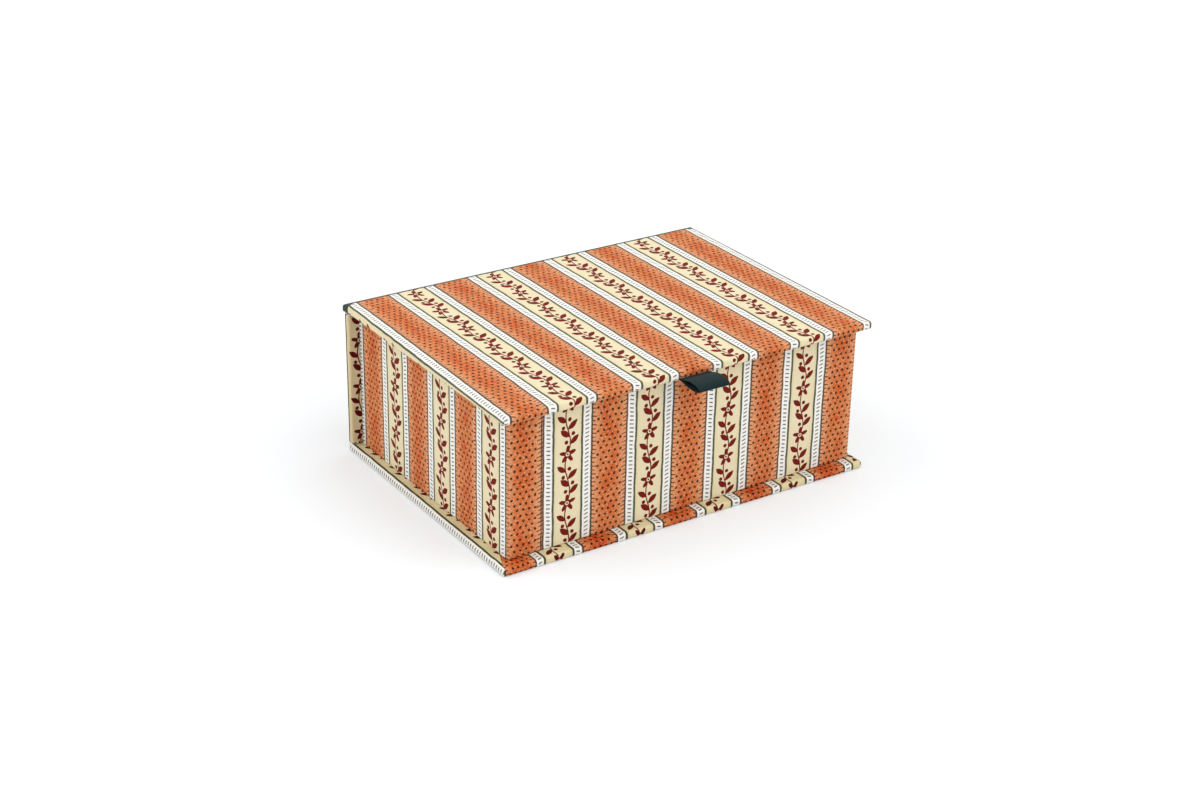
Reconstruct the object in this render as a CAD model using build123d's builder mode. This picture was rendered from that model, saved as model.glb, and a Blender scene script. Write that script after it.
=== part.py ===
"""Paper-covered keepsake box with a cloth-hinged lid and a ribbon pull.

Millimetres, +Z up. The origin is the middle of the underside, where the box rests. +X runs to the right
along the front, and +Y to the back, where the lid is hinged. Three covered boards make the case: the base,
the spine that stands on its back edge, and the lid. The tray is glued inside the case. Each board is wrapped
in printed paper, whose edges are turned in and mitred, and a strip of cloth joins the lid to the spine.
"""

import os

from build123d import *

os.makedirs("parts", exist_ok=True)

# Case
case_width = 200.0
case_depth = 145.0
board_thickness = 3.5
left_overhang = 5.6
right_overhang = 4.0
front_overhang = 6.2

# Tray
tray_height = 68.1
wall_thickness = 2.5
floor_thickness = 2.5
corner_round = 0.9
rim_round = 0.8

# Paper, cloth, tape and ribbon
paper = 0.2
cloth = 0.3
tape = 0.15
ribbon = 0.4

# Wrapping of the case boards
edge_round = 1.3
turn_in = 15.0
mitre_gap = 0.2

# Wrapping and lining of the tray
rim_turn_in = 12.0
base_turn_under = 12.0
lining_below_rim = 3.0
stay_leg = 12.0
seam_from_corner = 17.2
seam_lap = 6.0

# Lid lining
lid_lining_margin = 3.0
lid_lining_back_margin = 1.0

# Cloth hinge
lid_gap = 0.3
cloth_on_top = 2.3
cloth_on_end = 4.5
cloth_under_paper = 14.8
cloth_on_spine = 14.0

# Ribbon pull
ribbon_width = 16.2
ribbon_middle_x = -1.7
ribbon_tail = 22.0
loop_reach = 14.9
loop_widest = 8.0
loop_rise = 2.4
loop_drop = 1.2
nose_rise = 0.4
ribbon_slack = 0.05

# Places that follow from the sizes above
covered_board = board_thickness + 2 * paper
round_outside = min(edge_round, 0.45 * covered_board)
board_bevel = 0.7 * (round_outside - paper)
cloth_bevel = 0.7 * (round_outside - cloth)
tray_low = covered_board
tray_top = tray_low + tray_height
lid_low = tray_top + lid_gap + paper
lid_top = lid_low + covered_board
front_y = -case_depth / 2
back_y = case_depth / 2
spine_back_y = back_y - cloth
spine_front_y = spine_back_y - covered_board
tray_width = case_width - left_overhang - right_overhang
tray_depth = spine_front_y - front_y - front_overhang
tray_middle_x = (left_overhang - right_overhang) / 2
tray_middle_y = spine_front_y - tray_depth / 2
seam_x = left_overhang - case_width / 2 + seam_from_corner
shell_width = tray_width - 2 * paper
shell_depth = tray_depth - 2 * paper
inner_width = shell_width - 2 * wall_thickness
inner_depth = shell_depth - 2 * wall_thickness
shell_low = tray_low + paper
shell_top = tray_top - paper
floor_top = shell_low + floor_thickness

# Each case board is drawn on its outer face, with the local Z pointing to the inside of the box
base_plane = Plane.XY
lid_plane = Plane(origin=(0, 0, lid_top), x_dir=(1, 0, 0), z_dir=(0, 0, -1))
spine_plane = Plane(
    origin=(0, spine_back_y, tray_low + tray_height / 2), x_dir=(1, 0, 0), z_dir=(0, -1, 0)
)
lid_local_back = -1
spine_local_top = 1

finished = []


def keep(part, label):
    """Names a finished piece and writes it."""
    part.label = label
    export_step(part, f"parts/{label}.step")
    finished.append(part)


def soft_board(plane, length, width, inset, low, thickness, soften, size, square_point=None):
    """A board inset from its outline, with its edges softened, save the one at square_point."""
    with BuildPart(plane) as soft:
        with Locations((0, 0, low)):
            Box(
                length - 2 * inset,
                width - 2 * inset,
                thickness,
                align=(Align.CENTER, Align.CENTER, Align.MIN),
            )
        softened = soft.edges()
        if square_point is not None:
            square = softened.sort_by_distance(plane.from_local_coords(square_point))[0]
            softened = softened.filter_by(lambda edge: not edge.is_same(square))
        soften(softened, size)
    return soft.part


def mitres(corners):
    """Diagonal slits, from just inside the board's rounded corners to the window in the turned-in paper."""
    near = round_outside + mitre_gap
    far = turn_in + mitre_gap
    for x, y in corners:
        middle_x = x - (1 if x > 0 else -1) * (near + far) / 2
        middle_y = y - (1 if y > 0 else -1) * (near + far) / 2
        with Locations((middle_x, middle_y)):
            Rectangle(mitre_gap, (far - near) * 2**0.5, rotation=-45 if x * y > 0 else 45)


def window(length, width, open_back):
    """The bare part of a board's inner face. open_back is -1 or 1 where a long edge isn't turned in."""
    shift = open_back * turn_in / 2
    with Locations((0, shift)):
        Rectangle(length - 2 * turn_in, width - 2 * turn_in + abs(open_back) * turn_in)


def all_corners(length, width):
    return [(x * length / 2, y * width / 2) for x in (-1, 1) for y in (-1, 1)]


# Base
base_envelope = soft_board(base_plane, case_width, case_depth, 0, 0, covered_board, fillet, round_outside)
base_core = soft_board(
    base_plane, case_width, case_depth, paper, paper, board_thickness, chamfer, board_bevel
)

with BuildPart() as base_board:
    add(base_core)
keep(base_board.part, "base_board")

with BuildPart() as base_cover_paper:
    add(base_envelope)
    add(base_core, mode=Mode.SUBTRACT)
    with BuildSketch(base_plane.offset(covered_board)):
        window(case_width, case_depth, 0)
        mitres(all_corners(case_width, case_depth))
    extrude(amount=-paper, mode=Mode.SUBTRACT)
keep(base_cover_paper.part, "base_cover_paper")

# Spine
spine_hinge_edge = (0, spine_local_top * tray_height / 2, 0)
spine_core_edge = (0, spine_local_top * (tray_height / 2 - paper), paper)
spine_envelope = soft_board(
    spine_plane, case_width, tray_height, 0, 0, covered_board, fillet, round_outside, spine_hinge_edge
)
spine_core = soft_board(
    spine_plane, case_width, tray_height, paper, paper, board_thickness, chamfer, board_bevel, spine_core_edge
)

with BuildPart() as spine_board:
    add(spine_core)
keep(spine_board.part, "spine_board")

with BuildPart() as spine_cover_paper:
    add(spine_envelope)
    add(spine_core, mode=Mode.SUBTRACT)
    with BuildSketch(spine_plane.offset(covered_board)):
        window(case_width, tray_height, 0)
        mitres(all_corners(case_width, tray_height))
    extrude(amount=-paper, mode=Mode.SUBTRACT)
keep(spine_cover_paper.part, "spine_cover_paper")

# Tray boards
with BuildPart() as tray_block:
    with BuildSketch(Plane((tray_middle_x, tray_middle_y, shell_low))):
        RectangleRounded(shell_width, shell_depth, corner_round - paper)
    extrude(amount=shell_top - shell_low)
    fillet(tray_block.faces().sort_by(Axis.Z)[-1].edges(), rim_round - paper)
    with BuildSketch(Plane((tray_middle_x, tray_middle_y, shell_low))):
        Rectangle(inner_width, inner_depth)
    extrude(amount=shell_top - shell_low, mode=Mode.SUBTRACT)

with BuildPart() as tray_corner_stays:
    with BuildSketch(Plane((tray_middle_x, tray_middle_y, shell_low))):
        RectangleRounded(shell_width, shell_depth, corner_round - paper)
        offset(amount=-tape, mode=Mode.SUBTRACT)
        Rectangle(shell_width - 2 * stay_leg, shell_depth, mode=Mode.SUBTRACT)
        Rectangle(shell_width, shell_depth - 2 * stay_leg, mode=Mode.SUBTRACT)
    extrude(amount=tray_height - 2 * paper - rim_round)
keep(tray_corner_stays.part, "tray_corner_stays")

with BuildPart() as tray_walls:
    add(tray_block.part)
    add(tray_corner_stays.part, mode=Mode.SUBTRACT)


def tray_wall(label, middle, size):
    """One wall of the tray, cut from the ring of four."""
    with BuildPart() as wall:
        add(tray_walls.part)
        with BuildSketch(Plane((tray_middle_x, tray_middle_y, shell_low))):
            with Locations(middle):
                Rectangle(*size)
        extrude(amount=tray_height, mode=Mode.INTERSECT)
    keep(wall.part, label)


long_wall_y = (inner_depth + wall_thickness) / 2
short_wall_x = (inner_width + wall_thickness) / 2
tray_wall("tray_front_wall", (0, -long_wall_y), (shell_width, wall_thickness))
tray_wall("tray_back_wall", (0, long_wall_y), (shell_width, wall_thickness))
tray_wall("tray_left_wall", (-short_wall_x, 0), (wall_thickness, inner_depth))
tray_wall("tray_right_wall", (short_wall_x, 0), (wall_thickness, inner_depth))

with BuildPart() as tray_floor:
    with BuildSketch(Plane((tray_middle_x, tray_middle_y, shell_low))):
        Rectangle(inner_width, inner_depth)
    extrude(amount=floor_thickness)
keep(tray_floor.part, "tray_floor")

# Tray cover: one strip round the four walls, turned over the rim and under the floor, lapped near a corner
with BuildPart() as tray_cover_paper:
    with BuildSketch(Plane((tray_middle_x, tray_middle_y, tray_low))):
        RectangleRounded(tray_width, tray_depth, corner_round)
    extrude(amount=tray_height)
    fillet(tray_cover_paper.faces().sort_by(Axis.Z)[-1].edges(), rim_round)
    with BuildSketch(Plane((tray_middle_x, tray_middle_y, shell_low))):
        Rectangle(inner_width, inner_depth)
    extrude(amount=shell_top - shell_low - rim_turn_in + paper, mode=Mode.SUBTRACT)
    with BuildSketch(Plane((tray_middle_x, tray_middle_y, shell_low))):
        Rectangle(inner_width - 2 * paper, inner_depth - 2 * paper)
    extrude(amount=tray_height, mode=Mode.SUBTRACT)
    add(tray_block.part, mode=Mode.SUBTRACT)
    with BuildSketch(Plane((tray_middle_x, tray_middle_y, tray_low))):
        Rectangle(tray_width - 2 * base_turn_under, tray_depth - 2 * base_turn_under)
    extrude(amount=paper, mode=Mode.SUBTRACT)
    with BuildSketch(Plane.XZ.offset(tray_depth / 2 - tray_middle_y)):
        with Locations((seam_x, tray_low)):
            Rectangle(seam_lap, tray_height - rim_round, align=(Align.MAX, Align.MIN))
    extrude(amount=paper)
keep(tray_cover_paper.part, "tray_cover_paper")

# Tray lining
with BuildPart() as tray_wall_lining:
    with BuildSketch(Plane((tray_middle_x, tray_middle_y, floor_top))):
        Rectangle(inner_width, inner_depth)
        offset(amount=-paper, mode=Mode.SUBTRACT)
    extrude(amount=tray_top - rim_turn_in - floor_top)
    with BuildSketch(Plane((tray_middle_x, tray_middle_y, tray_top - rim_turn_in - paper))):
        Rectangle(inner_width - 2 * paper, inner_depth - 2 * paper)
        offset(amount=-paper, mode=Mode.SUBTRACT)
    extrude(amount=rim_turn_in + paper - lining_below_rim)
keep(tray_wall_lining.part, "tray_wall_lining")

with BuildPart() as tray_floor_lining:
    with BuildSketch(Plane((tray_middle_x, tray_middle_y, floor_top))):
        Rectangle(inner_width - 2 * paper, inner_depth - 2 * paper)
    extrude(amount=paper)
keep(tray_floor_lining.part, "tray_floor_lining")

# Lid
lid_hinge_edge = (0, lid_local_back * case_depth / 2, covered_board)
lid_core_edge = (0, lid_local_back * (case_depth / 2 - paper), paper + board_thickness)
lid_envelope = soft_board(
    lid_plane, case_width, case_depth, 0, 0, covered_board, fillet, round_outside, lid_hinge_edge
)
lid_core = soft_board(
    lid_plane, case_width, case_depth, paper, paper, board_thickness, chamfer, board_bevel, lid_core_edge
)

# The back strip of the lid that the printed paper leaves bare, with its corners cut on the slant
with BuildPart() as cloth_zone:
    with BuildSketch(Plane.XY.offset(lid_low - cloth)):
        with BuildLine():
            Polyline(
                (0, back_y + cloth),
                (case_width / 2 + cloth, back_y + cloth),
                (case_width / 2 + cloth, back_y - cloth_on_end),
                (case_width / 2, back_y - cloth_on_end),
                (case_width / 2 - cloth_on_end, back_y - cloth_on_top),
                (0, back_y - cloth_on_top),
                close=True,
            )
        make_face()
        mirror(about=Plane.YZ)
    extrude(amount=covered_board + 2 * cloth)

cloth_core = soft_board(
    lid_plane, case_width, case_depth, cloth, cloth, covered_board, chamfer, cloth_bevel
)

with BuildPart() as hinge_cloth_lid_leaf:
    add(lid_envelope)
    add(cloth_core, mode=Mode.SUBTRACT)
    add(cloth_zone.part, mode=Mode.INTERSECT)
    with BuildSketch(Plane.XY.offset(lid_top - paper)):
        with Locations((0, back_y - cloth_on_top + cloth)):
            Rectangle(
                case_width - 2 * (round_outside + cloth),
                cloth_under_paper + cloth,
                align=(Align.CENTER, Align.MAX),
            )
    extrude(amount=-cloth)
keep(hinge_cloth_lid_leaf.part, "hinge_cloth_lid_leaf")

with BuildPart() as hinge_cloth_spine_leaf:
    with BuildSketch(Plane.XZ.offset(-back_y)):
        with Locations((0, tray_top)):
            Rectangle(case_width - 2 * round_outside, cloth_on_spine, align=(Align.CENTER, Align.MAX))
    extrude(amount=cloth)
keep(hinge_cloth_spine_leaf.part, "hinge_cloth_spine_leaf")

# Ribbon pull: both tails are let into the underside of the lid, and the loop stands out in front
nose = (front_y - loop_reach, lid_low + nose_rise)
widest_y = front_y - loop_widest
with BuildPart() as ribbon_pull:
    with BuildSketch(Plane.YZ.offset(ribbon_middle_x - ribbon_width / 2)):
        with BuildLine():
            Spline(
                (front_y, lid_low + 2 * ribbon),
                (widest_y, lid_low + loop_rise),
                nose,
                (widest_y, lid_low - loop_drop),
                (front_y, lid_low),
                tangents=((-1, 0.2), (-1, 0), (0, -1), (1, 0), (1, 0.4)),
            )
            Line((front_y, lid_low), (front_y, lid_low + 2 * ribbon))
        make_face()
        with BuildLine():
            Spline(
                (front_y, lid_low + ribbon),
                (widest_y, lid_low + loop_rise - ribbon),
                (nose[0] + ribbon, nose[1]),
                (widest_y, lid_low - loop_drop + ribbon),
                (front_y, lid_low + ribbon),
                tangents=((-1, 0.2), (-1, 0), (0, -1), (1, 0), (1, 0.4)),
            )
        make_face(mode=Mode.SUBTRACT)
        with Locations((front_y, lid_low)):
            Rectangle(ribbon_tail, 2 * ribbon, align=(Align.MIN, Align.MIN))
    extrude(amount=ribbon_width)
keep(ribbon_pull.part, "ribbon_pull")

with BuildPart() as ribbon_seat:
    with BuildSketch(Plane.YZ.offset(ribbon_middle_x - ribbon_width / 2 - ribbon_slack)):
        with Locations((front_y, lid_low)):
            Rectangle(ribbon_tail + ribbon_slack, 2 * ribbon + ribbon_slack, align=(Align.MIN, Align.MIN))
    extrude(amount=ribbon_width + 2 * ribbon_slack)

with BuildPart() as lid_board:
    add(lid_core)
    add(hinge_cloth_lid_leaf.part, mode=Mode.SUBTRACT)
    add(ribbon_seat.part, mode=Mode.SUBTRACT)
keep(lid_board.part, "lid_board")

with BuildPart() as lid_cover_paper:
    add(lid_envelope)
    add(lid_core, mode=Mode.SUBTRACT)
    add(cloth_zone.part, mode=Mode.SUBTRACT)
    add(hinge_cloth_lid_leaf.part, mode=Mode.SUBTRACT)
    with BuildSketch(lid_plane.offset(covered_board)):
        window(case_width, case_depth, lid_local_back)
        mitres([(x * case_width / 2, case_depth / 2) for x in (-1, 1)])
    extrude(amount=-paper, mode=Mode.SUBTRACT)
    add(ribbon_seat.part, mode=Mode.SUBTRACT)
keep(lid_cover_paper.part, "lid_cover_paper")

# Lid lining: pasted over the turn-ins at its front and sides, and down onto the bare board between them
with BuildPart() as lid_lining_paper:
    with BuildSketch(Plane.XY.offset(lid_low - paper)):
        with Locations((0, back_y - lid_lining_back_margin)):
            Rectangle(
                case_width - 2 * lid_lining_margin,
                case_depth - lid_lining_margin - lid_lining_back_margin,
                align=(Align.CENTER, Align.MAX),
            )
    extrude(amount=2 * paper)
    with BuildSketch(Plane.XY.offset(lid_low)):
        Rectangle(case_width, case_depth)
        with Locations((0, back_y)):
            Rectangle(
                case_width - 2 * turn_in,
                case_depth - turn_in,
                align=(Align.CENTER, Align.MAX),
                mode=Mode.SUBTRACT,
            )
    extrude(amount=paper, mode=Mode.SUBTRACT)
    with BuildSketch(Plane.XY.offset(lid_low - paper)):
        with Locations((0, back_y)):
            Rectangle(
                case_width - 2 * (turn_in + paper),
                case_depth - turn_in - paper,
                align=(Align.CENTER, Align.MAX),
            )
    extrude(amount=paper, mode=Mode.SUBTRACT)
    add(ribbon_seat.part, mode=Mode.SUBTRACT)
keep(lid_lining_paper.part, "lid_lining_paper")

print(f"box {case_width:.1f} x {case_depth:.1f} x {lid_top:.1f} mm, {len(finished)} pieces")
print(f"inside {inner_width - 4 * paper:.1f} x {inner_depth - 4 * paper:.1f} mm")
print(f"tray middle {tray_middle_x:.2f}, {tray_middle_y:.2f}")
print(f"floor {floor_top + paper:.2f}, rim {tray_top:.2f}, lid from {lid_low:.2f}")
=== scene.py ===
"""A keepsake box covered in striped printed paper, closed, on a white table."""

import math

import bmesh
import bpy
from mathutils import Matrix, Vector
from mathutils.geometry import interpolate_bezier


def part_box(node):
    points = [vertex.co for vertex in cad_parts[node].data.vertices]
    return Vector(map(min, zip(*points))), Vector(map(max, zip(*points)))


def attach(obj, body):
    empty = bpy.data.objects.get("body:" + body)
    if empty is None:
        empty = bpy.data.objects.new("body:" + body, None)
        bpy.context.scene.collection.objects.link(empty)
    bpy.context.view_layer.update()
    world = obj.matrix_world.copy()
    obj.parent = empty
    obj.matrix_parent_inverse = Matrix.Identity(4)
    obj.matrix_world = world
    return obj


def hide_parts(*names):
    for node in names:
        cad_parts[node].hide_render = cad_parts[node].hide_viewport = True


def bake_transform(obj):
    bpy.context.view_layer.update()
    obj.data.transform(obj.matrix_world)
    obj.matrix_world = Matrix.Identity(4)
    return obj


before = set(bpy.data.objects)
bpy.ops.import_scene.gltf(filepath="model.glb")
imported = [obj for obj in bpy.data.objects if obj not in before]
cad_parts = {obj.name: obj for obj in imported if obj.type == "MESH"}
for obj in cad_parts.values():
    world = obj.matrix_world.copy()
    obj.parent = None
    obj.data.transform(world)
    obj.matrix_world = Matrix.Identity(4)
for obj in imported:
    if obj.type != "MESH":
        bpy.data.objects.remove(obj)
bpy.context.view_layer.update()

# Sizes of the papers, the cloth and the ribbon, in metres
PAPER = 0.0002
CLOTH = 0.0003
RIBBON = 0.0004
RIBBON_SLACK = 0.00005
EDGE_ROUND = 0.0013
ROUND_STEPS = 4
TURN_IN = 0.015
MITRE_GAP = 0.00012
CLOTH_ON_TOP = 0.0023
CLOTH_ON_END = 0.0045
CLOTH_UNDER_PAPER = 0.0148
CLOTH_FULLNESS = 0.0009
GAP_ROWS = 6
RIBBON_SWELL = 0.0016
RIBBON_STRIPS = 10
BEND_STEPS = 10

# The tray's paper
TRAY_ROUND = 0.00085
FOOT_ROUND = 0.00065
WALL = 0.0029
RIM_TURN_IN = 0.012
TURN_UNDER = 0.012
SEAM_FROM_CORNER = 0.0172
SEAM_LAP = 0.006
SEAM_STEP = 0.0004
CORNER_START = 0.0014
REPEATS_ROUND = 15
LEFT_STRETCH = 1.0058

SHARP = math.radians(40)

# Share of the light that the whitest paper sends back; the lights are as much brighter
PAPER_WHITE = 0.82

# How far along an axis the normal of a flat face points
LEVEL = 0.999
# Less than any real distance here
HAIR = 1e-6


# Camera

camera_data = bpy.data.cameras.new("camera")
camera_data.lens = 64.016
camera_data.sensor_width = 36.0
camera_data.clip_start = 0.01
camera = bpy.data.objects.new("camera", camera_data)
camera.location = (-0.51391, -0.75788, 0.46423)
camera.rotation_euler = [math.radians(a) for a in (64.686, -1.055, -33.483)]
bpy.context.scene.collection.objects.link(camera)
bpy.context.scene.camera = camera


# Material recipes

def ink(red, green, blue):
    """A colour as it is seen, from 0 to 255, in the linear numbers that a shader takes."""
    seen = [c / 255 for c in (red, green, blue)]
    linear = [c / 12.92 if c < 0.04045 else ((c + 0.055) / 1.055) ** 2.4 for c in seen]
    return (*(PAPER_WHITE * c for c in linear), 1.0)


class Recipe:
    """A material's nodes, added one at a time and joined as they are added."""

    def __init__(self, name, roughness, specular=0.35):
        self.material = bpy.data.materials.new(name)
        self.material.use_nodes = True
        self.tree = self.material.node_tree
        self.shader = self.tree.nodes["Principled BSDF"]
        self.shader.inputs["Roughness"].default_value = roughness
        self.shader.inputs["Specular IOR Level"].default_value = specular

    def put(self, socket, value):
        """Joins a socket to another node's output, or sets it to a plain value."""
        if hasattr(value, "is_output"):
            self.tree.links.new(value, socket)
        else:
            socket.default_value = value

    def add(self, kind, *values, **settings):
        """A new node, with these values on its sockets in order, where None leaves one as it is."""
        node = self.tree.nodes.new("ShaderNode" + kind)
        for key, value in settings.items():
            setattr(node, key, value)
        for socket, value in zip(node.inputs, values):
            if value is not None:
                self.put(socket, value)
        return node

    def math(self, operation, *values):
        return self.add("Math", *values, operation=operation).outputs[0]

    def plus(self, a, b):
        return self.math("ADD", a, b)

    def minus(self, a, b):
        return self.math("SUBTRACT", a, b)

    def times(self, a, b):
        return self.math("MULTIPLY", a, b)

    def most(self, *masks):
        """The strongest of several masks."""
        found = masks[0]
        for mask in masks[1:]:
            found = self.math("MAXIMUM", found, mask)
        return found

    def under(self, value, limit, soft):
        """1 where value is under limit and 0 over it, with a soft edge."""
        node = self.add("MapRange", interpolation_type="SMOOTHSTEP")
        ends = {"From Min": limit - soft, "From Max": limit + soft, "To Min": 1.0, "To Max": 0.0}
        for name, number in ends.items():
            node.inputs[name].default_value = number
        self.put(node.inputs["Value"], value)
        return node.outputs["Result"]

    def spread(self, value, low, high):
        """Value from 0 to 1 spread from low to high."""
        node = self.add("MapRange")
        node.inputs["To Min"].default_value = low
        node.inputs["To Max"].default_value = high
        self.put(node.inputs["Value"], value)
        return node.outputs["Result"]

    def mix(self, mask, below, above):
        node = self.add("Mix", data_type="RGBA")
        self.put(node.inputs[0], mask)
        self.put(node.inputs[6], below)
        self.put(node.inputs[7], above)
        return node.outputs[2]

    def noise(self, vector, scale, detail=2.0, roughness=0.5):
        node = self.add("TexNoise")
        self.put(node.inputs["Vector"], vector)
        node.inputs["Scale"].default_value = scale
        node.inputs["Detail"].default_value = detail
        node.inputs["Roughness"].default_value = roughness
        return node

    def stretched(self, vector, scale):
        node = self.add("Mapping")
        self.put(node.inputs["Vector"], vector)
        node.inputs["Scale"].default_value = scale
        return node.outputs[0]

    def bump(self, height, distance, strength=1.0, below=None):
        node = self.add("Bump")
        node.inputs["Strength"].default_value = strength
        node.inputs["Distance"].default_value = distance
        self.put(node.inputs["Height"], height)
        if below is not None:
            self.put(node.inputs["Normal"], below)
        return node.outputs[0]

    def object_place(self):
        """The place on the piece, in millimetres."""
        return self.scaled(self.add("TexCoord").outputs["Object"], 1000)

    def map_place(self, name):
        """The place on the flat cut, in millimetres."""
        return self.scaled(self.add("UVMap", uv_map=name).outputs[0], 1000)

    def scaled(self, vector, factor):
        node = self.add("VectorMath", operation="SCALE")
        self.put(node.inputs[0], vector)
        node.inputs["Scale"].default_value = factor
        return node.outputs[0]

    def finish(self, colour, normal=None, roughness=None):
        self.put(self.shader.inputs["Base Color"], colour)
        if normal is not None:
            self.put(self.shader.inputs["Normal"], normal)
        if roughness is not None:
            self.put(self.shader.inputs["Roughness"], roughness)
        return self.material


# The print, in millimetres: a terracotta band, a white one, a cream one and a white one, over and over
REPEAT = 43.2
TERRACOTTA_MIDDLE, TERRACOTTA_HALF = 9.05, 9.05
CREAM_MIDDLE, CREAM_HALF = 30.6, 7.35
WHITE_MIDDLES = (20.7, 40.55)
# Pin dots: their pitch, their reach with its flecks, and how far from the band's middle they go
DOT_ACROSS, DOT_ALONG = 3.0, 2.8
DOT_REACH, DOT_FIELD = 0.9, 6.7
# Ticks: their pitch, their thickness as a share of it, a short one's length, and what a long one has more
TICK_PITCH, TICK_SHARE = 2.0, 0.26
TICK_LENGTH, TICK_MORE = 1.6, 0.7
# Rungs: half their pitch, half their thickness, half their length, and their lean
RUNG_STEP, RUNG_HALF, RUNG_REACH, RUNG_LEAN = 1.0, 0.32, 0.98, 0.25
# The sprig: its repeat, its stem, and where the leaves and berries are
SPRIG = 24.0
SPRIG_SWAY = 1.2
STEM_HALF = 0.32
LEAF_LEAN, LEAF_BELLY = math.radians(50), 0.45
LEAVES = ((4.6, 1, 2.9), (8.2, -1, 3.1), (11.8, 1, 3.1), (15.4, -1, 2.9))
BERRIES = ((5.9, -1), (9.5, 1), (13.1, -1), (16.7, 1))
BERRY_OFF, BERRY_RADIUS = 2.0, 0.95
PETALS, PETAL_REACH, PETAL_WAVE = 5.0, 3.0, 1.3
HEART, SEED = 1.0, 0.5
# Rules along the bands' borders: middle, half width and colour
RULES = (
    (-0.15, 0.48, (18, 34, 22)), (18.2, 0.44, (70, 33, 16)),
    (23.2, 0.54, (18, 44, 16)), (38.0, 0.54, (18, 44, 16)),
)


def printed_paper(name, depth):
    """The printed paper, darkened and deepened by a gamma where depth is over 1, as painted shade for pieces
    that sit in shade.
    """
    r = Recipe(name, 0.6, 0.1)
    flat = r.map_place("print")
    # The lines waver a little, as drawn ones do
    place = flat
    for scale, reach in ((0.13, 0.7), (0.9, 0.3)):
        noise = r.noise(flat, scale, 1.0).outputs["Color"]
        waver = r.add("VectorMath", noise, (0.5, 0.5, 0.5), operation="SUBTRACT")
        place = r.add("VectorMath", place, r.scaled(waver.outputs[0], reach), operation="ADD").outputs[0]
    parts = r.add("SeparateXYZ", place)
    across, along = parts.outputs[0], parts.outputs[1]
    mottle = r.noise(r.stretched(flat, (1.0, 0.5, 1.0)), 0.17, 4.0, 0.62).outputs[0]
    fleck = r.noise(flat, 0.9, 3.0, 0.65).outputs[0]

    def off(middle):
        """How far a point lies from the nearest line that runs along the band at middle."""
        return r.math("PINGPONG", r.minus(across, middle), REPEAT / 2)

    def signed(middle):
        return r.math("WRAP", r.minus(across, middle), REPEAT / 2, -REPEAT / 2)

    def along_from(place_along):
        return r.math("WRAP", r.minus(along, place_along), SPRIG / 2, -SPRIG / 2)

    def reach_of(a, b):
        return r.math("SQRT", r.plus(r.times(a, a), r.times(b, b)))

    # Grounds
    white = r.mix(fleck, ink(255, 254, 249), ink(250, 247, 239))
    cream_off = off(CREAM_MIDDLE)
    wash = r.under(cream_off, CREAM_HALF - 1.2, 1.0)
    cream = r.mix(r.spread(mottle, -0.2, 1.0), ink(243, 232, 199), ink(236, 220, 176))
    cream = r.mix(r.times(r.minus(1.0, wash), 0.5), cream, ink(226, 209, 150))
    terracotta_off = off(TERRACOTTA_MIDDLE)
    inner = r.under(terracotta_off, 6.4, 2.6)
    terracotta = r.mix(r.times(inner, r.under(mottle, 0.6, 0.16)), ink(234, 165, 119), ink(217, 126, 72))
    pool = r.times(r.under(terracotta_off, 4.6, 3.4), r.under(r.minus(1.0, mottle), 0.5, 0.1))
    terracotta = r.mix(r.times(pool, 0.9), terracotta, ink(206, 84, 14))
    terracotta = r.mix(r.times(r.under(fleck, 0.42, 0.06), 0.6), terracotta, ink(242, 188, 146))
    terracotta = r.mix(r.times(r.under(r.minus(1.0, fleck), 0.41, 0.06), 0.5), terracotta, ink(192, 88, 28))
    colour = r.mix(r.under(cream_off, CREAM_HALF, 0.08), white, cream)
    colour = r.mix(r.under(terracotta_off, TERRACOTTA_HALF, 0.1), colour, terracotta)

    # Pin dots in staggered rows on the terracotta, with long and short ticks down both its borders
    row = r.math("DIVIDE", r.plus(along, r.times(mottle, 3.0)), DOT_ALONG)
    stagger = r.times(r.math("FLOORED_MODULO", r.math("FLOOR", row), 2.0), 0.5)
    column = r.plus(r.plus(r.math("DIVIDE", signed(TERRACOTTA_MIDDLE), DOT_ACROSS), stagger), 0.5)
    dot_reach = reach_of(r.times(r.minus(r.math("FRACT", column), 0.5), DOT_ACROSS),
                         r.times(r.minus(r.math("FRACT", row), 0.5), DOT_ALONG))
    dots = r.under(r.plus(dot_reach, r.times(fleck, 0.5)), DOT_REACH, 0.1)
    dots = r.times(dots, r.under(terracotta_off, DOT_FIELD, 0.05))
    colour = r.mix(r.times(dots, 0.94), colour, ink(42, 26, 14))
    inside = r.minus(TERRACOTTA_HALF, terracotta_off)
    tick = r.math("DIVIDE", r.plus(along, r.times(inside, 0.25)), TICK_PITCH)
    longer = r.times(r.math("FLOORED_MODULO", r.math("FLOOR", tick), 2.0), TICK_MORE)
    from_middle = r.math("ABSOLUTE", r.minus(r.math("FRACT", tick), 0.5))
    ticks = r.under(from_middle, TICK_SHARE / 2, 0.04)
    ticks = r.times(ticks, r.under(r.minus(inside, longer), TICK_LENGTH, 0.15))
    ticks = r.times(ticks, r.under(terracotta_off, TERRACOTTA_HALF, 0.05))
    colour = r.mix(r.times(ticks, 0.9), colour, ink(62, 28, 14))

    # Short rungs down the white bands, which lean towards each other
    for middle, lean in zip(WHITE_MIDDLES, (RUNG_LEAN, -RUNG_LEAN)):
        beside = signed(middle)
        rung = r.math("PINGPONG", r.plus(along, r.times(beside, lean)), RUNG_STEP)
        rungs = r.times(r.under(rung, RUNG_HALF, 0.1), r.under(r.math("ABSOLUTE", beside), RUNG_REACH, 0.14))
        colour = r.mix(r.times(rungs, r.spread(fleck, 0.75, 1.0)), colour, ink(52, 64, 54))

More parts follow.
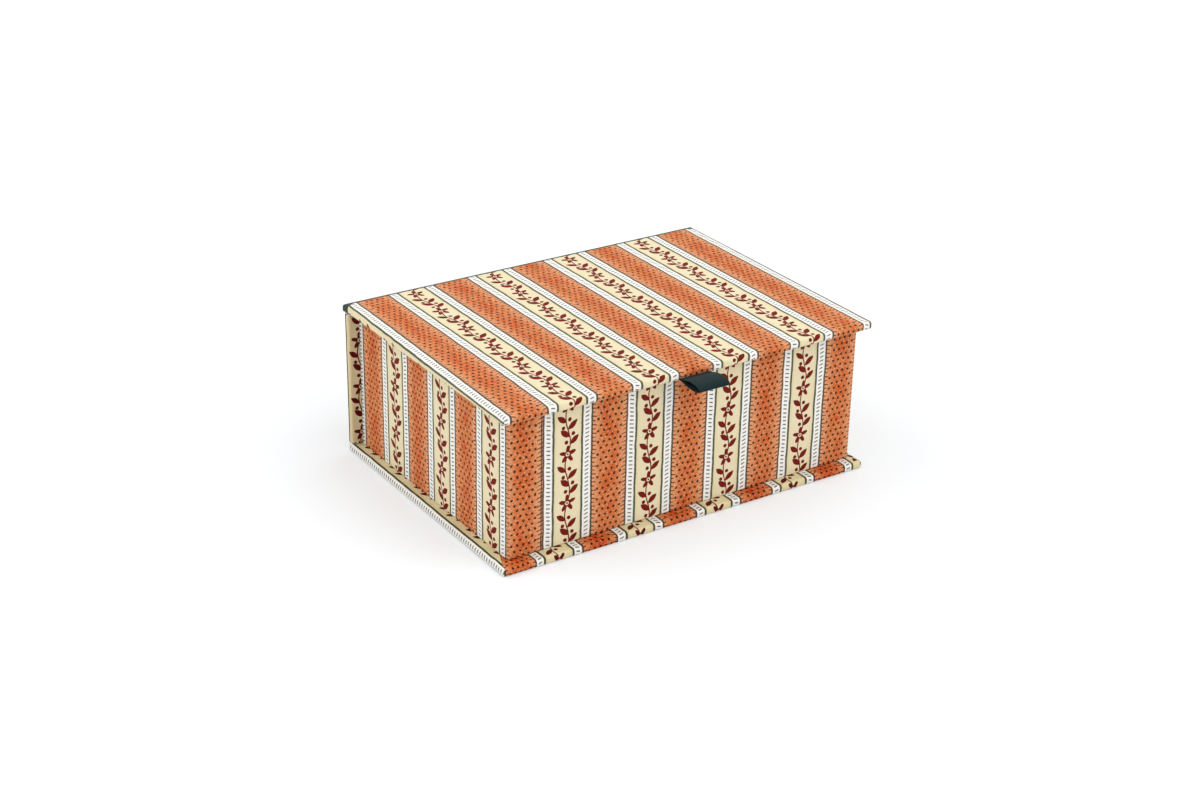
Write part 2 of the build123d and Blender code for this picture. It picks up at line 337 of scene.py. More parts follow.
    # A waving sprig down the cream bands: a five-petalled blossom, then leaves and berries by turns
    beside = signed(CREAM_MIDDLE)
    wave = r.times(r.math("SINE", r.times(along, 2 * math.pi / SPRIG)), SPRIG_SWAY)
    stem = r.under(r.math("ABSOLUTE", r.minus(beside, wave)), STEM_HALF, 0.08)

    def stem_at(place_along):
        return SPRIG_SWAY * math.sin(2 * math.pi * place_along / SPRIG)

    def leaf(root, side, size):
        """A pointed leaf that leaves the stem on one side and leans along it."""
        turn = side * LEAF_LEAN
        x = r.minus(beside, stem_at(root) + size * math.sin(turn))
        y = along_from(root + size * math.cos(turn))
        down = r.plus(r.times(x, math.sin(turn)), r.times(y, math.cos(turn)))
        over = r.minus(r.times(x, math.cos(turn)), r.times(y, math.sin(turn)))
        belly = r.times(r.minus(1.0, r.math("POWER", r.times(down, 1 / size), 2.0)), LEAF_BELLY * size)
        return r.under(r.minus(r.math("ABSOLUTE", over), belly), 0.0, 0.08)

    def berry(place_along, side):
        from_middle = r.minus(beside, stem_at(place_along) + side * BERRY_OFF)
        return r.under(reach_of(from_middle, along_from(place_along)), BERRY_RADIUS, 0.08)

    leaves = [leaf(*each) for each in LEAVES]
    berries = [berry(*each) for each in BERRIES]
    from_heart = along_from(0.0)
    reach = reach_of(beside, from_heart)
    petals = r.math("COSINE", r.times(r.math("ARCTAN2", beside, from_heart), PETALS))
    blossom = r.under(r.minus(reach, r.plus(r.times(petals, PETAL_WAVE), PETAL_REACH)), 0.0, 0.09)
    heart = r.under(reach, HEART, 0.08)
    seed = r.under(reach, SEED, 0.08)
    vine = r.most(stem, *leaves, *berries, blossom)
    vine = r.math("MAXIMUM", r.times(vine, r.minus(1.0, heart)), seed)
    colour = r.mix(vine, colour, r.mix(r.spread(fleck, -0.2, 1.2), ink(98, 10, 6), ink(134, 28, 12)))

    for middle, half, tone in RULES:
        rule = r.times(r.under(off(middle), half, 0.1), r.spread(fleck, 0.8, 1.0))
        colour = r.mix(rule, colour, ink(*tone))

    grain = r.noise(flat, 4.0, 3.0, 0.6).outputs[0]
    swell = r.noise(flat, 0.045, 1.0).outputs[0]
    normal = r.bump(grain, 0.00003, 0.5, r.bump(swell, 0.0003, 0.3))
    # A depth over 1 darkens and deepens every colour through the gamma: painted shade
    return r.finish(r.add("Gamma", colour, depth).outputs[0], normal, r.spread(fleck, 0.54, 0.66))


def cut_edge_paper():
    r = Recipe("cut_edge_paper", 0.8, 0.2)
    fibre = r.noise(r.object_place(), 6.0, 3.0).outputs[0]
    return r.finish(r.mix(fibre, ink(238, 234, 224), ink(214, 207, 192)), r.bump(fibre, 0.00003, 0.5))


def lining_paper():
    r = Recipe("lining_paper", 0.72, 0.25)
    place = r.object_place()
    cloud = r.noise(place, 0.12, 3.0, 0.6).outputs[0]
    fibre = r.noise(r.stretched(place, (1.0, 0.35, 1.0)), 3.2, 3.0, 0.65).outputs[0]
    colour = r.mix(cloud, ink(238, 228, 200), ink(228, 216, 184))
    colour = r.mix(r.times(r.under(fibre, 0.38, 0.06), 0.4), colour, ink(206, 190, 152))
    return r.finish(colour, r.bump(fibre, 0.00004, 0.5))


def greyboard():
    r = Recipe("greyboard", 0.9, 0.15)
    place = r.object_place()
    cloud = r.noise(place, 0.35, 4.0, 0.6).outputs[0]
    fleck = r.noise(r.stretched(place, (1.0, 0.5, 1.6)), 2.6, 2.0).outputs[0]
    colour = r.mix(cloud, ink(150, 145, 134), ink(128, 122, 112))
    colour = r.mix(r.times(r.under(fleck, 0.36, 0.05), 0.6), colour, ink(92, 88, 84))
    return r.finish(colour, r.bump(cloud, 0.0001, 0.6))


def gummed_tape():
    r = Recipe("gummed_tape", 0.7, 0.25)
    place = r.object_place()
    fibre = r.noise(r.stretched(place, (1.0, 1.0, 0.25)), 2.2, 3.0).outputs[0]
    return r.finish(r.mix(fibre, ink(196, 160, 112), ink(172, 134, 88)), r.bump(fibre, 0.00005, 0.5))


# In millimetres: half a thread of the cloth, and half a rib, half a thread and half the width of the ribbon
CLOTH_THREAD = 0.19
RIBBON_RIB, RIBBON_THREAD, RIBBON_HALF = 0.26, 0.14, 8.1


def book_cloth():
    """Plain-woven starched cotton on a paper back."""
    r = Recipe("book_cloth", 0.82, 0.2)
    parts = r.add("SeparateXYZ", r.map_place("cut"))
    warp, weft = (r.math("PINGPONG", parts.outputs[axis], CLOTH_THREAD) for axis in (0, 1))
    column, row = (
        r.math("FLOOR", r.math("DIVIDE", parts.outputs[axis], 2 * CLOTH_THREAD)) for axis in (0, 1)
    )
    over = r.math("FLOORED_MODULO", r.plus(column, row), 2.0)
    lift = r.plus(r.times(over, warp), r.times(r.minus(1.0, over), weft))
    weave = r.times(lift, 1 / CLOTH_THREAD)
    slub = r.noise(r.stretched(r.map_place("cut"), (0.3, 2.0, 1.0)), 0.8, 3.0).outputs[0]
    colour = r.mix(weave, ink(30, 42, 38), ink(58, 74, 66))
    colour = r.mix(r.times(slub, 0.35), colour, ink(70, 86, 78))
    material = r.finish(colour, r.bump(weave, 0.00009, 0.8))
    r.shader.inputs["Sheen Weight"].default_value = 0.12
    r.shader.inputs["Sheen Roughness"].default_value = 0.5
    return material


def grosgrain():
    """Ribbon with fine ribs across it and a firm plain edge on each side."""
    r = Recipe("grosgrain", 0.66, 0.1)
    parts = r.add("SeparateXYZ", r.map_place("cut"))
    across, along = parts.outputs[0], parts.outputs[1]
    uneven = r.noise(r.map_place("cut"), 0.7, 2.0).outputs[0]
    rib = r.math("PINGPONG", r.plus(along, r.times(uneven, 0.12)), RIBBON_RIB)
    rib = r.times(rib, 1 / RIBBON_RIB)
    thread = r.math("PINGPONG", r.plus(across, r.times(rib, 0.1)), RIBBON_THREAD)
    thread = r.times(thread, 1 / RIBBON_THREAD)
    selvedge = r.under(r.minus(RIBBON_HALF, r.math("ABSOLUTE", across)), 0.55, 0.05)
    height = r.plus(r.times(rib, 0.75), r.times(thread, 0.25))
    colour = r.mix(height, ink(4, 18, 19), ink(20, 50, 53))
    colour = r.mix(r.times(selvedge, 0.5), colour, ink(16, 36, 38))
    material = r.finish(colour, r.bump(height, 0.0001, 0.7))
    r.shader.inputs["Sheen Weight"].default_value = 0.04
    r.shader.inputs["Sheen Roughness"].default_value = 0.45
    return material


PRINTED = printed_paper("printed_paper", 1.0)
# The base's and the spine's paper: the same print darkened by a gamma of 1.25, as painted shade for the
# shade and warm bounce light they sit in
SHADED_CASE_PRINT = printed_paper("case_paper_painted_shade", 1.25)
CUT_EDGE = cut_edge_paper()
LINING = lining_paper()
GREYBOARD = greyboard()
GUMMED_TAPE = gummed_tape()
BOOK_CLOTH = book_cloth()
GROSGRAIN = grosgrain()


# Tools for the pieces

def put_block(bm, size, middle=(0, 0, 0)):
    bmesh.ops.create_cube(bm, size=1.0)
    bmesh.ops.scale(bm, vec=size, verts=bm.verts)
    bmesh.ops.translate(bm, vec=middle, verts=bm.verts)


def middle_of(part):
    """The middle of a face or an edge."""
    if isinstance(part, bmesh.types.BMFace):
        return part.calc_center_median()
    return (part.verts[0].co + part.verts[1].co) / 2


def kind_in(parts, kind):
    """The parts that are of one kind: corners, edges or faces."""
    return [part for part in parts if isinstance(part, kind)]


def soften(bm, edges, radius, steps=ROUND_STEPS):
    bmesh.ops.bevel(
        bm, geom=edges, offset=radius, offset_type="OFFSET", segments=steps, profile=0.5,
        affect="EDGES", material=-1, clamp_overlap=False
    )
    bm.normal_update()


def drop_faces(bm, faces):
    bmesh.ops.delete(bm, geom=list(faces), context="FACES")


def cut(bm, faces, point, normal, drop=False):
    """Cuts these faces along a plane and, if asked, drops those on the normal's side."""
    faces = list(faces)
    edges = dict.fromkeys(edge for face in faces for edge in face.edges)
    corners = dict.fromkeys(corner for face in faces for corner in face.verts)
    point, normal = Vector(point), Vector(normal)
    made = bmesh.ops.bisect_plane(
        bm, geom=[*faces, *edges, *corners], dist=HAIR / 10, plane_co=point, plane_no=normal
    )["geom"]
    if drop:
        cut_faces = kind_in(made, bmesh.types.BMFace)
        drop_faces(bm, [face for face in cut_faces if (middle_of(face) - point).dot(normal) > 0])
    bm.normal_update()


def pull_out(bm, edges, way):
    """Draws a strip of faces out of these edges, and returns the edges at its far side."""
    added = bmesh.ops.extrude_edge_only(bm, edges=edges)["geom"]
    bmesh.ops.translate(bm, vec=way, verts=kind_in(added, bmesh.types.BMVert))
    return kind_in(added, bmesh.types.BMEdge)


def facing(bm, axis, way):
    """The flat faces that look along an axis, forwards or backwards."""
    return [face for face in bm.faces if face.normal[axis] * way > LEVEL]


def round_walk(a, b, radius):
    """The way over a rounded edge, from its middle to a point a inside one face and b inside the other.

    It grows over the face that b is measured from, and falls over the other.
    """
    if a < radius and b < radius:
        return radius * (math.pi / 4 - math.atan2(radius - a, radius - b))
    quarter = radius * math.pi / 4
    return a - radius + quarter if a >= b else radius - b - quarter


def make_piece(name, bm, body, materials, thickness, replaced, centred=False):
    """Turns a worked mesh into a finished piece, with its thickness and its place on a body.

    The mesh is the piece's outer side, and the last material is for its inner side and its edges. Where the
    piece is centred, the mesh is its middle, and both sides are alike.
    """
    for edge in bm.edges:
        edge.smooth = edge.is_manifold and edge.calc_face_angle(0.0) < SHARP
    mesh = bpy.data.meshes.new(name)
    bm.to_mesh(mesh)
    bm.free()
    for material in materials:
        mesh.materials.append(material)
    mesh.polygons.foreach_set("use_smooth", [True] * len(mesh.polygons))
    piece = bpy.data.objects.new(name, mesh)
    bpy.context.scene.collection.objects.link(piece)
    skin = piece.modifiers.new("thickness", "SOLIDIFY")
    skin.thickness = thickness
    skin.offset = 0.0 if centred else -1.0
    skin.use_even_offset = True
    skin.material_offset = skin.material_offset_rim = 0 if centred else len(materials) - 1
    shading = piece.modifiers.new("even_shading", "WEIGHTED_NORMAL")
    shading.keep_sharp = True
    if body:
        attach(piece, body)
    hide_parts(*replaced)
    return piece


# Papers on the three case boards

lid_low, lid_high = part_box("lid_cover_paper")
spine_low, spine_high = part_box("spine_cover_paper")
CASE_X = lid_high.x - lid_low.x
CASE_Y = -2 * lid_low.y
SLAB = lid_high.z - lid_low.z
lid_back = -lid_low.y
ribbon_low, ribbon_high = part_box("ribbon_pull")
spine_cloth_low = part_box("hinge_cloth_spine_leaf")[0]

# Where along x the print on the base and on the lid starts to be drawn aside
BASE_LEFT, BASE_MIDDLE, BASE_RIGHT = -0.08, -0.04, 0.08
LID_LEFT, LID_RIGHT, LID_RIGHT_END = -0.07, 0.09, 0.099


def turned_in(inward, height):
    """Length of paper from the board's outer face to a point on its edge or its inner face."""
    quarter = EDGE_ROUND * math.pi / 4
    if height <= SLAB / 2:
        return quarter - round_walk(inward, height, EDGE_ROUND)
    return 3 * quarter + SLAB - 2 * EDGE_ROUND - round_walk(SLAB - height, inward, EDGE_ROUND)


def free_turn_ins(bm, half_x, half_y, open_back):
    """Parts the turn-ins from the paper's inner side, and leaves the board bare inside them."""
    window_x, window_y = half_x - TURN_IN, half_y - TURN_IN
    for side in (-1, 1):
        cut(bm, facing(bm, 2, 1), (side * window_x, 0, 0), (1, 0, 0))
    for side in (1,) if open_back else (-1, 1):
        cut(bm, facing(bm, 2, 1), (0, side * window_y, 0), (0, 1, 0))

    def is_bare(face):
        middle = middle_of(face)
        return abs(middle.x) < window_x and middle.y < window_y and (open_back or middle.y > -window_y)

    drop_faces(bm, [face for face in facing(bm, 2, 1) if is_bare(face)])


def open_mitre(bm, corner, mitre):
    """Cuts the gap of a mitre across the turn-ins, from the board's corner inwards."""
    side_x, side_y = math.copysign(1, corner.x), math.copysign(1, corner.y)
    slope = Vector((side_x * mitre, -side_y, 0)).normalized()

    def both_turn_ins():
        return [face for face in facing(bm, 2, 1)
                if (corner - middle_of(face)).x * side_x < TURN_IN
                and (corner - middle_of(face)).y * side_y < TURN_IN]

    for shift in (-MITRE_GAP / 2, MITRE_GAP / 2):
        cut(bm, both_turn_ins(), corner + slope * shift, slope)
    drop_faces(bm, [face for face in both_turn_ins()
                    if abs((middle_of(face) - corner).dot(slope)) < MITRE_GAP / 4])


def notch_for_ribbon(bm):
    """Takes the paper away where the ribbon's two tails lie between it and the board."""
    left, right = ribbon_low.x - RIBBON_SLACK, ribbon_high.x + RIBBON_SLACK
    depth = SLAB - 2 * RIBBON

    def inner_front():
        return [face for face in bm.faces if middle_of(face).z > SLAB / 2 and middle_of(face).y > 0]

    def at_ribbon():
        return [face for face in inner_front() if left < middle_of(face).x < right]

    for x in (left, right):
        cut(bm, inner_front(), (x, 0, 0), (1, 0, 0))
    cut(bm, at_ribbon(), (0, 0, depth), (0, 0, 1))
    drop_faces(bm, [face for face in at_ribbon() if middle_of(face).z > depth])


def lay_print(bm, half_x, half_y, mitres, printing):
    """Gives each face its place on the print, as if the paper lay flat."""
    layer = bm.loops.layers.uv.new("print")
    for face in bm.faces:
        middle = middle_of(face)
        lean = mitres[middle.y > 0] if face.normal.z > LEVEL else 1.0
        nearer_end = (half_x - abs(middle.x)) * lean < half_y - abs(middle.y)
        for loop in face.loops:
            u, v, height = loop.vert.co
            if face.normal.z > -LEVEL:
                if nearer_end:
                    u = math.copysign(half_x - EDGE_ROUND + turned_in(half_x - abs(u), height), middle.x)
                else:
                    v = math.copysign(half_y - EDGE_ROUND + turned_in(half_y - abs(v), height), middle.y)
            loop[layer].uv = printing(u, v)


def wrap_board(
    name, body, node, width, place, paper, printing, eased_at=(), square_edge=None, open_back=False,
    notch=False, mitres=(1.0, 1.0)
):
    """Paper wrapped round a board, turned in on its inner face, with mitred corners.

    The board lies with its outer face on z = 0, and printing turns a place on the flat paper into one on
    the print, which is eased at the places along x in eased_at. square_edge picks an edge that isn't
    rounded, open_back leaves the edge at low y to the hinge cloth, and notch lets the ribbon through at
    high y. The mitres are those at low y and at high y, and over 1 they give more of a corner to the
    turn-in there, and less to the board's end.
    """
    half_x, half_y = CASE_X / 2, width / 2
    bm = bmesh.new()
    put_block(bm, (CASE_X, width, SLAB), (0, 0, SLAB / 2))
    soften(bm, [e for e in bm.edges if square_edge is None or not square_edge(middle_of(e))], EDGE_ROUND)
    if open_back:
        cut(bm, bm.faces, (0, CLOTH_ON_TOP - half_y, 0), (0, -1, 0), drop=True)
        for side in (-1, 1):
            cut(bm, bm.faces, (side * (half_x - CLOTH_ON_END), CLOTH_ON_TOP - half_y, 0),
                (side * (CLOTH_ON_END - CLOTH_ON_TOP), -CLOTH_ON_END, 0), drop=True)
    free_turn_ins(bm, half_x, half_y, open_back)
    for side_x in (-1, 1):
        for side_y in (1,) if open_back else (-1, 1):
            open_mitre(bm, Vector((side_x * half_x, side_y * half_y, 0)), mitres[side_y > 0])
    if notch:
        notch_for_ribbon(bm)
    for x in eased_at:
        cut(bm, bm.faces, (x, 0, 0), (1, 0, 0))
    lay_print(bm, half_x, half_y, mitres, printing)
    bmesh.ops.transform(bm, matrix=place, verts=bm.verts)
    return make_piece(name, bm, body, [paper, CUT_EDGE], PAPER, [node])


def part_way(u, start, end):
    """How far u has come from start to end, from 0 to 1."""
    return max(0.0, min(1.0, (u - start) / (end - start)))


def base_print(u, v):
    """The paper is drawn to the left, and eased back where a white band runs along the left edge."""
    drawn = 0.0006 * part_way(u, BASE_RIGHT, BASE_MIDDLE) - 0.0032 * part_way(u, BASE_LEFT, -CASE_X / 2)
    return u + 0.1018 + drawn, v


def spine_print(u, v):
    return 0.0086 - u, v + 0.004


def lid_print(u, v):
    """The paper lies a little askew, most of all at the lid's left end, and is drawn in at the right."""
    skew = (0.0005 + 0.0025 * part_way(u, LID_LEFT, -CASE_X / 2)) * (0.5 - v / CASE_Y)
    drawn = 0.0012 * part_way(u, LID_RIGHT, LID_RIGHT_END)
    return u + 0.0964 - skew + drawn, 0.007 - v


def spine_hinge_edge(middle):
    return middle.y > 0.45 * spine_height and middle.z < SLAB / 4


def lid_hinge_edge(middle):
    return middle.y < -0.45 * CASE_Y and middle.z > SLAB * 0.75


spine_height = spine_high.z - spine_low.z
spine_place = Matrix.Translation((0, spine_high.y, (spine_low.z + spine_high.z) / 2))
wrap_board(
    "base_paper", "box", "base_cover_paper", CASE_Y, Matrix.Identity(4), SHADED_CASE_PRINT, base_print,
    eased_at=(BASE_LEFT, BASE_MIDDLE, BASE_RIGHT), mitres=(2.36, 0.42)
)
wrap_board(
    "spine_paper", "box", "spine_cover_paper", spine_height,
    spine_place @ Matrix.Rotation(math.pi / 2, 4, "X"), SHADED_CASE_PRINT, spine_print,
    square_edge=spine_hinge_edge, mitres=(0.4, 0.4)
)
wrap_board(
    "lid_paper", "lid", "lid_cover_paper", CASE_Y,
    Matrix.Translation((0, 0, lid_high.z)) @ Matrix.Rotation(math.pi, 4, "X"), PRINTED, lid_print,
    eased_at=(LID_LEFT, LID_RIGHT), square_edge=lid_hinge_edge, open_back=True, notch=True
)


# Paper round the tray

def tray_paper():
    """One strip round the four walls, lapped on the front, turned in over the rim and under the floor."""
    low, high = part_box("tray_cover_paper")
    low.y += PAPER
    size, middle = high - low, (low + high) / 2
    half = size / 2
    seam = low.x + SEAM_FROM_CORNER
    bm = bmesh.new()
    put_block(bm, size, middle)
    bottom = [e for e in bm.edges if all(corner.co.z < middle.z for corner in e.verts)]
    soften(bm, [e for e in bm.edges if e not in bottom], TRAY_ROUND)
    foot = [e for e in bm.edges if all(corner.co.z < low.z + HAIR for corner in e.verts)]
    soften(bm, foot, FOOT_ROUND, 3)
    # The rim opens into the tray, and the underside is bare in the middle
    for way, inset in ((1, WALL), (-1, TURN_UNDER)):
        for axis in (0, 1):
            for side in (-1, 1):
                point, normal = middle.copy(), Vector((0, 0, 0))
                point[axis] += side * (half[axis] - inset)
                normal[axis] = 1
                cut(bm, facing(bm, 2, way), point, normal)
        drop_faces(bm, [face for face in facing(bm, 2, way) if (middle_of(face) - middle).xy.length < WALL])
    pull_out(bm, [e for e in bm.edges if e.is_boundary and middle_of(e).z > middle.z], (0, 0, -RIM_TURN_IN))

    # The lap, whose free edge stands up at the seam and whose other side fades into the wall
    def front():
        return [face for face in facing(bm, 1, -1) if middle_of(face).y < middle.y]

    for x in (seam - SEAM_LAP, seam):
        cut(bm, front(), (x, 0, 0), (1, 0, 0))
    lap = [face for face in front() if seam - SEAM_LAP < middle_of(face).x < seam]
    lifted = kind_in(bmesh.ops.extrude_face_region(bm, geom=lap)["geom"], bmesh.types.BMVert)
    drop_faces(bm, [face for face in lap if face.is_valid])
    for corner in lifted:
        corner.co.y -= PAPER if corner.co.x > seam - SEAM_LAP / 2 else PAPER / 10
    bmesh.ops.recalc_face_normals(bm, faces=bm.faces)
    bm.normal_update()

    # The print runs on round the corners, and its only step is at the seam
    quarter = TRAY_ROUND * math.pi / 4
    eased = 2 * (TRAY_ROUND - quarter)
    long_way, short_way = size.x - eased, size.y - eased
    whole_way = REPEATS_ROUND * REPEAT / 1000 + CORNER_START
    rest_of_way = whole_way - LEFT_STRETCH * short_way - long_way - SEAM_STEP
    rest_stretch = rest_of_way / (long_way + short_way)

    def round_tray(place, on_end, right_of_seam):
        gap_x, gap_y = half.x - abs(place.x), half.y - abs(place.y)
        walk = round_walk(gap_x, gap_y, TRAY_ROUND)
        if on_end:
            walk = min(walk, -1e-9) if gap_x < TRAY_ROUND else TRAY_ROUND - quarter - gap_y
        elif gap_x >= TRAY_ROUND:
            walk = gap_x - TRAY_ROUND + quarter
        left, front = place.x < 0, place.y < 0
        if left and on_end:
            return CORNER_START + LEFT_STRETCH * (walk if front else -(short_way + walk))
        if front and not on_end:
            return (walk if left else long_way - walk) + (SEAM_STEP if right_of_seam else CORNER_START)
        way = {
            (False, True): -walk,
            (False, False): short_way + walk,
            (True, False): short_way + long_way - walk,
        }
        return long_way + SEAM_STEP + rest_stretch * way[left, front]

    layer = bm.loops.layers.uv.new("print")
    for face in bm.faces:
        centre = middle_of(face) - middle
        on_end = half.x - abs(centre.x) < half.y - abs(centre.y)
        deep = min(half.x - abs(centre.x), half.y - abs(centre.y)) > WALL / 2
        for loop in face.loops:
            place = loop.vert.co - middle
            gap_x, gap_y = half.x - abs(place.x), half.y - abs(place.y)
            if gap_x < TRAY_ROUND and gap_y < TRAY_ROUND:
                gap = TRAY_ROUND - math.hypot(TRAY_ROUND - gap_x, TRAY_ROUND - gap_y)
            else:
                gap = gap_x if on_end else gap_y
            below = half.z - place.z
            v = round_walk(max(gap, 0.0), below, TRAY_ROUND)
            if deep and abs(face.normal.z) < 0.5:
                v = WALL - TRAY_ROUND + quarter + below
            loop[layer].uv = (round_tray(place, on_end, centre.x > seam - middle.x), v)
    return make_piece(
        "tray_paper", bm, "box", [PRINTED, CUT_EDGE], PAPER, ["tray_cover_paper"]
    )


# Cloth hinge and ribbon pull

def hinge_cloth():
    """A strip of book cloth from under the lid's paper, over the lid's back edge and down the spine."""
    half_x, back = CASE_X / 2, lid_back
    bm = bmesh.new()
    put_block(bm, (CASE_X, CASE_Y, SLAB), (0, 0, lid_high.z - SLAB / 2))
    hinge_edge = [e for e in bm.edges if middle_of(e).y > back - HAIR and middle_of(e).z < lid_low.z + HAIR]
    soften(bm, [e for e in bm.edges if e not in hinge_edge], EDGE_ROUND)
    cut(bm, bm.faces, (0, back - CLOTH_ON_END, 0), (0, -1, 0), drop=True)
    drop_faces(bm, facing(bm, 2, -1))
    for side in (-1, 1):
        cut(bm, bm.faces, (side * (half_x - CLOTH_ON_END), 0, 0), (1, 0, 0))
    for side in (-1, 1):
        cut(bm, [face for face in bm.faces if middle_of(face).x * side > half_x - CLOTH_ON_END],
            (side * (half_x - CLOTH_ON_END), back - CLOTH_ON_TOP, 0),
            (side * (CLOTH_ON_TOP - CLOTH_ON_END), -CLOTH_ON_END, 0), drop=True)
    between = [face for face in bm.faces if abs(middle_of(face).x) < half_x - CLOTH_ON_END]
    cut(bm, between, (0, back - CLOTH_ON_TOP, 0), (0, -1, 0), drop=True)

    # The part that is pasted under the printed paper, and the part that goes down over gap and spine
    open_edges = [e for e in bm.edges if e.is_boundary]
    top_edges = [e for e in open_edges if middle_of(e).y < back - CLOTH_ON_TOP + HAIR
                 and abs(middle_of(e).x) < half_x - CLOTH_ON_END]
    low_edges = [e for e in open_edges if middle_of(e).z < lid_low.z + HAIR and e.calc_length() > half_x]
    pull_out(bm, pull_out(bm, top_edges, (0, 0, -PAPER)), (0, -CLOTH_UNDER_PAPER, 0))
    pull_out(bm, low_edges, (0, 0, spine_cloth_low.z - lid_low.z))
    bmesh.ops.recalc_face_normals(bm, faces=bm.faces)
    bm.normal_update()
    gap_low, gap_high = spine_high.z, lid_low.z
    for step in range(GAP_ROWS + 1):
        height = gap_low + (gap_high - gap_low) * step / GAP_ROWS
        cut(bm, facing(bm, 1, 1), (0, 0, height), (0, 0, 1))

    # The left end stands out a little at the back corner, where the cloth is thick with its own folds
    for corner in bm.verts:
        if corner.co.x < EDGE_ROUND * 0.8 - half_x and corner.co.z > lid_low.z - HAIR:
            corner.co.x -= CLOTH_FULLNESS * part_way(corner.co.y, back - CLOTH_ON_END, back - EDGE_ROUND)

    layer = bm.loops.layers.uv.new("cut")
    for face in bm.faces:
        for loop in face.loops:
            x, y, z = loop.vert.co
            if abs(face.normal.x) > 0.7:
                loop[layer].uv = (math.copysign(half_x + back - y, x), back + lid_high.z - z)
            elif face.normal.z > 0.7:
                loop[layer].uv = (x, y)
            else:
                loop[layer].uv = (x, back + lid_high.z - z)
    return make_piece(
        "hinge_cloth", bm, None, [BOOK_CLOTH], CLOTH,
        ["hinge_cloth_lid_leaf", "hinge_cloth_spine_leaf"]
    )


def ribbon_loop():
    """A folded ribbon: two tails under the lid, and a loop that swells a little in front of it."""
    fold = ribbon_low.y + RIBBON / 2
    front, layer_up, layer_down = lid_low.y, lid_low.z + 1.5 * RIBBON, lid_low.z + 0.5 * RIBBON
    top, bottom = layer_up + RIBBON_SWELL, layer_up - RIBBON_SWELL
    # Each stretch as places (y, z): its start, the two that it leans towards where it bends, and its end
    bends = [
        ((ribbon_high.y, layer_up), None, None, (front + 0.0005, layer_up)),
        ((front + 0.0005, layer_up), (front - 0.0028, layer_up + 0.0002),
         (front - 0.0046, top), (front - 0.0082, top)),
        ((front - 0.0082, top), (front - 0.0118, top),
         (fold, layer_up + 0.0009), (fold, layer_up - 0.0002)),
        ((fold, layer_up - 0.0002), (fold, layer_up - 0.0012),
         (front - 0.0122, bottom), (front - 0.0088, bottom)),
        ((front - 0.0088, bottom), (front - 0.0050, bottom),
         (front - 0.0026, layer_down - 0.0001), (front + 0.0005, layer_down)),
        ((front + 0.0005, layer_down), None, None, (ribbon_high.y, layer_down)),
    ]
    line = []
    for start, lean_out, lean_in, end in bends:
        start, end = Vector((0, *start)), Vector((0, *end))
        if lean_out is None:
            points = [start.lerp(end, step / 4) for step in range(5)]
        else:
            lean_out, lean_in = Vector((0, *lean_out)), Vector((0, *lean_in))
            points = interpolate_bezier(start, lean_out, lean_in, end, BEND_STEPS + 1)
        line += points if not line else points[1:]
    bm = bmesh.new()
    corners = [bm.verts.new(point + Vector((ribbon_low.x, 0, 0))) for point in line]
    edges = [bm.edges.new(pair) for pair in zip(corners, corners[1:])]
    along = {}
    length = 0.0
    for index, corner in enumerate(corners):
        length += (corner.co - corners[index - 1].co).length if index else 0.0
        along[tuple(round(c, 7) for c in corner.co.yz)] = length
    for strip in range(RIBBON_STRIPS):
        edges = pull_out(bm, edges, ((ribbon_high.x - ribbon_low.x) / RIBBON_STRIPS, 0, 0))
    bmesh.ops.recalc_face_normals(bm, faces=bm.faces)
    layer = bm.loops.layers.uv.new("cut")
    middle_x = (ribbon_low.x + ribbon_high.x) / 2
    for face in bm.faces:
        for loop in face.loops:
            place = loop.vert.co
            loop[layer].uv = (place.x - middle_x, along[tuple(round(c, 7) for c in place.yz)])
    # The lid's lining is pasted over the tails' ends, past the turned-in paper
    cut(bm, bm.faces, (0, front + TURN_IN, 0), (0, 1, 0))
    for face in bm.faces:
        face.material_index = 1 if middle_of(face).y > front + TURN_IN else 0
    piece = make_piece(
        "ribbon_loop", bm, "lid", [GROSGRAIN, LINING], RIBBON, ["ribbon_pull"], centred=True
    )
    return piece, length


tray_paper()
strip = hinge_cloth()
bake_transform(strip)
pull, pull_length = ribbon_loop()


# Boards, linings and stays, whose CAD shapes are right

for finish, names in (
    (GREYBOARD, ("base_board", "spine_board", "lid_board", "tray_floor",
                 "tray_front_wall", "tray_back_wall", "tray_left_wall", "tray_right_wall")),
    (LINING, ("tray_wall_lining", "tray_floor_lining", "lid_lining_paper")),
    (GUMMED_TAPE, ("tray_corner_stays",)),
):
    for name in names:
        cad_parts[name].data.materials.clear()
        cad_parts[name].data.materials.append(finish)


# Table, backdrop and light

# The table's own tone, the tone that the camera sees, and the light that keeps it white in the picture
TABLE_TONE = (0.78, 0.78, 0.78, 1)
TABLE_SEEN = (0.6, 0.62, 0.635, 1)
TABLE_LIFT = 0.29
# Light that comes evenly from all round
EVEN_LIGHT = 0.82


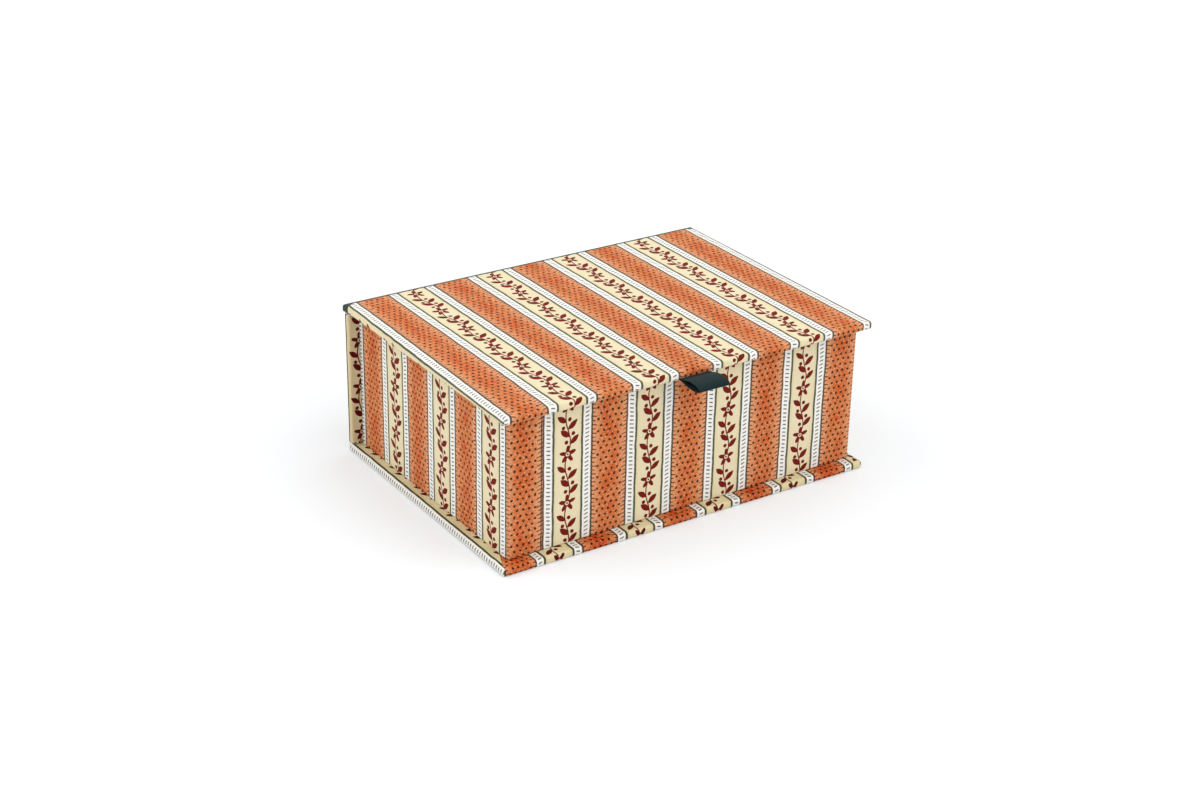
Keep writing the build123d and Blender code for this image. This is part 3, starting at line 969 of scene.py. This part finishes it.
def table_finish():
    r = Recipe("white_table", 0.9, 0.0)
    seen = r.add("LightPath").outputs["Is Camera Ray"]
    glow = r.add("Emission", None, r.times(seen, TABLE_LIFT))
    r.finish(r.mix(seen, TABLE_TONE, TABLE_SEEN))
    both = r.add("AddShader", r.shader.outputs[0], glow.outputs[0])
    r.put(r.tree.nodes["Material Output"].inputs["Surface"], both.outputs[0])
    return r.material


def white_table():
    bm = bmesh.new()
    bmesh.ops.create_grid(bm, x_segments=1, y_segments=1, size=6.0)
    mesh = bpy.data.meshes.new("table")
    bm.to_mesh(mesh)
    bm.free()
    mesh.materials.append(table_finish())
    table = bpy.data.objects.new("table", mesh)
    bpy.context.scene.collection.objects.link(table)


def studio():
    """Even light on everything, and plain white where the camera sees past the table."""
    world = bpy.data.worlds.new("studio")
    bpy.context.scene.world = world
    world.use_nodes = True
    nodes, links = world.node_tree.nodes, world.node_tree.links
    background = nodes["Background"]
    background.inputs["Color"].default_value = (1, 1, 1, 1)
    path = nodes.new("ShaderNodeLightPath")
    clear = path.outputs["Is Camera Ray"]
    for ray in ("Is Glossy Ray", "Is Transmission Ray"):
        most = nodes.new("ShaderNodeMath")
        most.operation = "MAXIMUM"
        links.new(clear, most.inputs[0])
        links.new(path.outputs[ray], most.inputs[1])
        clear = most.outputs[0]
    strength = nodes.new("ShaderNodeMapRange")
    strength.inputs["To Min"].default_value = EVEN_LIGHT
    strength.inputs["To Max"].default_value = 1.0
    links.new(clear, strength.inputs["Value"])
    links.new(strength.outputs["Result"], background.inputs["Strength"])


def lamp(name, direction, angle, strength):
    """A far light that shines from a direction, as wide as its angle in degrees."""
    data = bpy.data.lights.new(name, "SUN")
    data.angle = math.radians(angle)
    data.energy = strength
    light = bpy.data.objects.new(name, data)
    light.rotation_euler = Vector(direction).to_track_quat("Z", "Y").to_euler()
    bpy.context.scene.collection.objects.link(light)


white_table()
studio()
lamp("broad_overhead_light", (0.5, 0.15, 1.0), 40, 0.2)
lamp("broad_right_light", (0.6, -0.9, 1.0), 60, 1.22)
lamp("broad_left_light", (-1.0, 0.5, 0.8), 60, 1.04)

bpy.context.scene.view_settings.view_transform = "Standard"
